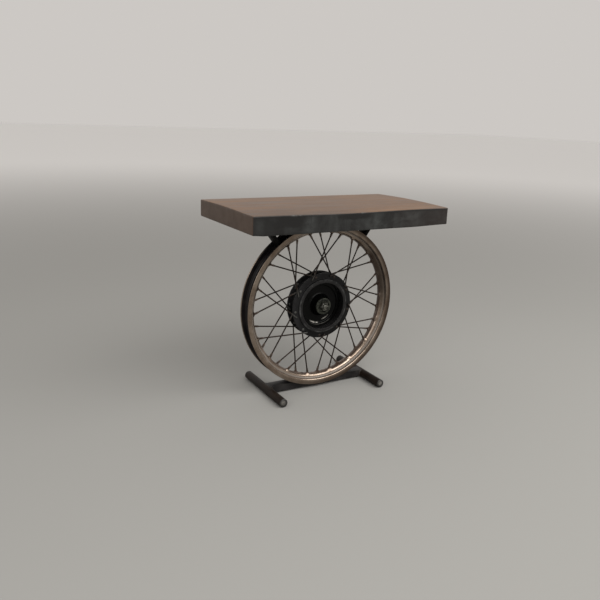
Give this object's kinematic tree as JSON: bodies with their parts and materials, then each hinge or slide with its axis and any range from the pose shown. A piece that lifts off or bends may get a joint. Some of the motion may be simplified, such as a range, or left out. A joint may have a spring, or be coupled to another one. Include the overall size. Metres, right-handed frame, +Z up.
{
  "type": "spoked wheel side table",
  "caption": "Side table: a thick wooden top on a spoked wheel with an open drum hub, held by two short struts above and a welded tube base below.",
  "frame": {"origin": "on the floor under the middle of the table top", "axes": "+X along the top, +Y from the drum side to the back, +Z up"},
  "size_m": [0.61, 0.335, 0.548],
  "materials": {
    "black_wood": "satin black stain over open grain, worn at the edges",
    "black_steel": "satin black-brown paint",
    "rim_steel": "aged dull plating with brown tarnish",
    "spoke_steel": "dark rusted wire",
    "hub_black": "satin black paint, glossy inside the drum",
    "liner_iron": "worn brownish iron",
    "bearing_steel": "dull bearing steel",
    "zinc_steel": "dull zinc"
  },
  "bodies": {
    "table": {"table_top": "black_wood", "top_plate_left": "black_steel", "top_plate_right": "black_steel", "coach_screws": "zinc_steel", "strut_left": "black_steel", "strut_right": "black_steel", "strut_welds": "black_steel", "rim": "rim_steel", "spokes_front_inboard": "spoke_steel", "spokes_back_outboard": "spoke_steel", "spokes_front_outboard": "spoke_steel", "spokes_back_inboard": "spoke_steel", "nipples_front": "spoke_steel", "nipples_back": "spoke_steel", "hub_shell": "hub_black", "brake_liner": "liner_iron", "hub_bearings": "bearing_steel", "base_bar": "black_steel", "base_welds": "black_steel", "rim_welds": "black_steel", "foot_left": "black_steel", "foot_right": "black_steel", "foot_caps": "black_steel"},
    "spindle": {"spindle": "zinc_steel", "spindle_nuts": "zinc_steel"}
  },
  "joints": [
    {"name": "spindle_spin", "type": "hinge", "parent": "table", "child": "spindle", "pos_m": [-0.003, 0.005, 0.253], "axis": [0, 1, 0], "continuous": true}
  ]
}
